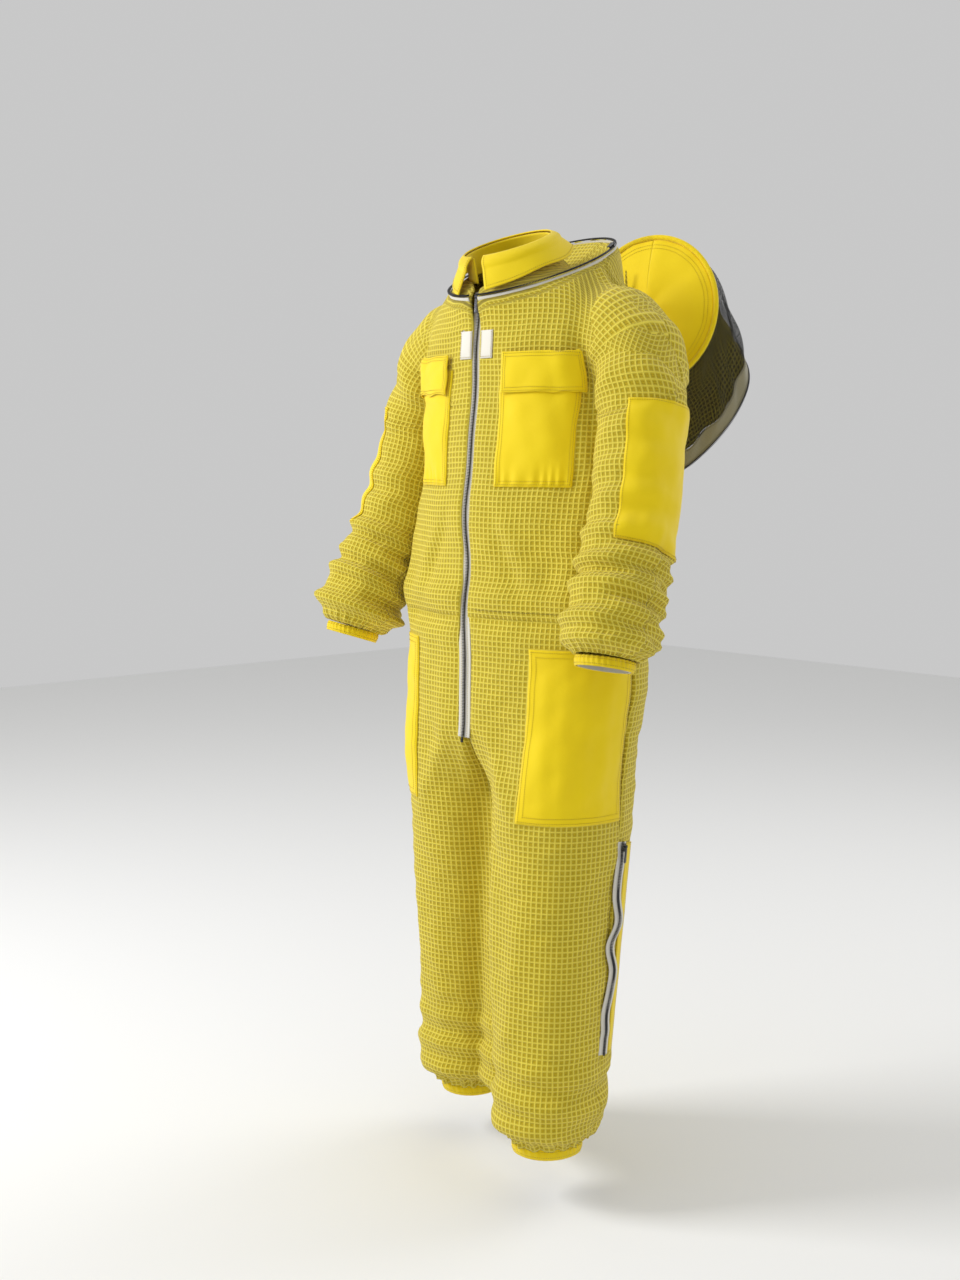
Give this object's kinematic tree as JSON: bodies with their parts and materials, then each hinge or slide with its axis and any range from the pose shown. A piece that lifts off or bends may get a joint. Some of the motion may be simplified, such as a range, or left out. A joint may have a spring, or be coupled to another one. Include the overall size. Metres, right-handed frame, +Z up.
{
  "type": "beekeeping suit",
  "caption": "Zip-front ventilated coverall with collar, pockets, gathered cuffs, ankle zips and a round veiled hood turned back behind the shoulders.",
  "frame": {"origin": "the middle of the shoulder line, where the worn suit hangs on the shoulders", "axes": "+Z up, +X to the wearer's left, -Y to the front"},
  "size_m": [0.749, 0.6273, 1.4927],
  "materials": {
    "mesh_fabric": "three-layer square mesh, bright yellow over an olive ground",
    "cotton": "plain woven yellow cotton with stitched edges",
    "zip_tape": "white woven zip tape",
    "teeth": "dark moulded teeth",
    "zip_metal": "dark plated metal",
    "hook_loop": "white loop pile",
    "elastic": "ribbed elastic",
    "veil_net": "black fine net",
    "hem_cloth": "beige hem band with a zip edge"
  },
  "bodies": {
    "suit": {"ankle_left_cuff": "mesh_fabric", "ankle_left_elastic": "elastic", "ankle_right_cuff": "mesh_fabric", "ankle_right_elastic": "elastic", "back_panel": "mesh_fabric", "chest_pocket_left": "cotton", "chest_pocket_right": "cotton", "collar_fall": "cotton", "collar_stand": "cotton", "elbow_patch_left": "cotton", "elbow_patch_right": "cotton", "front_panel_left": "mesh_fabric", "front_panel_right": "mesh_fabric", "front_stop": "zip_metal", "front_tape_left": "zip_tape", "front_tape_right": "zip_tape", "front_teeth": "teeth", "hook_patch_left": "hook_loop", "hook_patch_right": "hook_loop", "leg_back_left": "mesh_fabric", "leg_back_right": "mesh_fabric", "leg_facing_left": "cotton", "leg_facing_right": "cotton", "leg_front_left": "mesh_fabric", "leg_front_right": "mesh_fabric", "leg_tape_left": "zip_tape", "leg_tape_right": "zip_tape", "leg_teeth_left": "teeth", "leg_teeth_right": "teeth", "neck_stand": "mesh_fabric", "neck_tape": "zip_tape", "neck_teeth": "teeth", "sleeve_back_left": "mesh_fabric", "sleeve_back_right": "mesh_fabric", "sleeve_front_left": "mesh_fabric", "sleeve_front_right": "mesh_fabric", "thigh_pocket_left": "cotton", "thigh_pocket_right": "cotton", "wrist_left_cuff": "mesh_fabric", "wrist_left_elastic": "elastic", "wrist_right_cuff": "mesh_fabric", "wrist_right_elastic": "elastic"},
    "front_slider": {"front_slider": "zip_metal"},
    "front_pull": {"front_pull": "zip_metal"},
    "neck_left_slider": {"neck_left_slider": "zip_metal"},
    "neck_left_pull": {"neck_left_pull": "zip_metal"},
    "leg_left_slider": {"leg_left_slider": "zip_metal"},
    "leg_left_pull": {"leg_left_pull": "zip_metal"},
    "chest_flap_left": {"chest_flap_left": "cotton"},
    "neck_right_slider": {"neck_right_slider": "zip_metal"},
    "neck_right_pull": {"neck_right_pull": "zip_metal"},
    "leg_right_slider": {"leg_right_slider": "zip_metal"},
    "leg_right_pull": {"leg_right_pull": "zip_metal"},
    "chest_flap_right": {"chest_flap_right": "cotton"},
    "hood": {"hood_crown": "cotton", "hood_hoop": "cotton", "hood_veil": "veil_net", "hood_back": "mesh_fabric", "hood_hem": "hem_cloth", "hood_panel": "mesh_fabric"}
  },
  "joints": [
    {"name": "front_zip_slide", "type": "slide", "parent": "suit", "child": "front_slider", "axis": [0, -0.0524, -0.9986], "range_m": [0, 0.69]},
    {"name": "front_pull_hinge", "type": "hinge", "parent": "front_slider", "child": "front_pull", "pos_m": [0, -0.12395, -0.02621], "axis": [-1, 0, 0], "range_deg": [0, 150]},
    {"name": "neck_zip_left", "type": "hinge", "parent": "suit", "child": "neck_left_slider", "pos_m": [0, -0.003, 0.027], "axis": [0, -0.3907, 0.9205], "range_deg": [-110, 0]},
    {"name": "neck_pull_left_hinge", "type": "hinge", "parent": "neck_left_slider", "child": "neck_left_pull", "pos_m": [0.12356, 0.05675, 0.06018], "axis": [-0.8829, -0.4321, -0.1834], "range_deg": [0, 150]},
    {"name": "leg_zip_left", "type": "slide", "parent": "suit", "child": "leg_left_slider", "axis": [0.0071, -0.1257, -0.992], "range_m": [0, 0.32]},
    {"name": "leg_pull_left_hinge", "type": "hinge", "parent": "leg_left_slider", "child": "leg_left_pull", "pos_m": [0.23001, -0.01269, -0.89269], "axis": [0.3078, -0.9436, 0.1218], "range_deg": [0, 150]},
    {"name": "chest_flap_left_hinge", "type": "hinge", "parent": "suit", "child": "chest_flap_left", "pos_m": [0.13003, -0.10488, -0.116], "axis": [-0.9146, -0.4043, 0], "range_deg": [0, 110]},
    {"name": "neck_zip_right", "type": "hinge", "parent": "suit", "child": "neck_right_slider", "pos_m": [0, -0.003, 0.027], "axis": [0, -0.3907, 0.9205], "range_deg": [0, 110]},
    {"name": "neck_pull_right_hinge", "type": "hinge", "parent": "neck_right_slider", "child": "neck_right_pull", "pos_m": [-0.12356, 0.05675, 0.06018], "axis": [-0.8829, 0.4321, 0.1834], "range_deg": [0, 150]},
    {"name": "leg_zip_right", "type": "slide", "parent": "suit", "child": "leg_right_slider", "axis": [-0.0071, 0.0218, -0.9997], "range_m": [0, 0.32]},
    {"name": "leg_pull_right_hinge", "type": "hinge", "parent": "leg_right_slider", "child": "leg_right_pull", "pos_m": [-0.23, 0.01827, -0.89238], "axis": [0.31, 0.9506, 0.0186], "range_deg": [0, 150]},
    {"name": "chest_flap_right_hinge", "type": "hinge", "parent": "suit", "child": "chest_flap_right", "pos_m": [-0.13072, -0.10451, -0.116], "axis": [-0.9168, 0.3993, 0], "range_deg": [0, 110]},
    {"name": "hood_swing", "type": "hinge", "parent": "suit", "child": "hood", "pos_m": [0, 0.13239, 0.08067], "axis": [1, 0, 0], "range_deg": [0, 60]}
  ]
}
